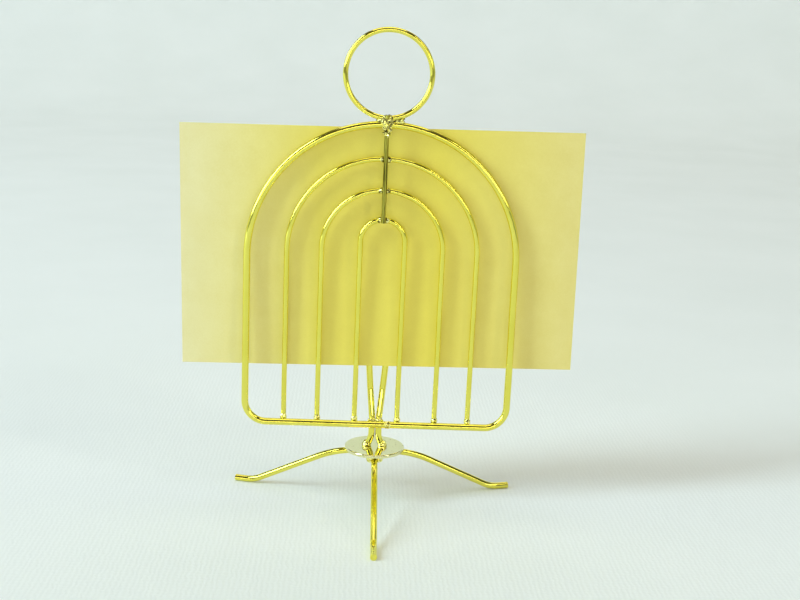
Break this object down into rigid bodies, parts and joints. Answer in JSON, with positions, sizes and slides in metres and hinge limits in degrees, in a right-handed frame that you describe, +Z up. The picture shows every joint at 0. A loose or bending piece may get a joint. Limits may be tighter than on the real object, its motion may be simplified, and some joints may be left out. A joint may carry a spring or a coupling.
{
  "type": "table number holder",
  "caption": "Bent-wire holder for a table number or place card: a birdcage of nested arches with a ring on top, a hairpin clip and a tripod base.",
  "frame": {"origin": "on the table under the middle of the base disc", "axes": "+X to the right seen from the front, +Y to the back, +Z up"},
  "size_m": [0.0907, 0.044, 0.1094],
  "materials": {
    "gold_wire": "bright gold-plated steel wire",
    "polished_disc": "mirror-bright gold-plated steel sheet",
    "solder_bead": "plated weld and solder beads, rough",
    "card_stock": "matt pale gold card"
  },
  "bodies": {
    "base": {"base_disc": "polished_disc", "front_leg": "gold_wire", "left_leg": "gold_wire", "right_leg": "gold_wire", "leg_welds": "solder_bead", "spring_loop": "gold_wire", "loop_foot_welds": "solder_bead", "rail_welds": "solder_bead"},
    "cage": {"cage_frame": "gold_wire", "frame_butt_weld": "solder_bead", "large_arch": "gold_wire", "middle_arch": "gold_wire", "small_arch": "gold_wire", "arch_foot_welds": "solder_bead", "centre_spine": "gold_wire", "spine_welds": "solder_bead", "top_ring": "gold_wire", "crown_solder": "solder_bead"},
    "card": {"place_card": "card_stock"}
  },
  "joints": [
    {"name": "panel_flex", "type": "hinge", "parent": "base", "child": "cage", "pos_m": [0, -0.00161, 0.0189], "axis": [1, 0, 0], "range_deg": [0, 4], "stiffness_Nm_per_rad": 0.2},
    {"name": "card_slide", "type": "slide", "parent": "base", "child": "card", "axis": [0, -0.0158, 0.9999], "range_m": [0, 0.06]}
  ]
}
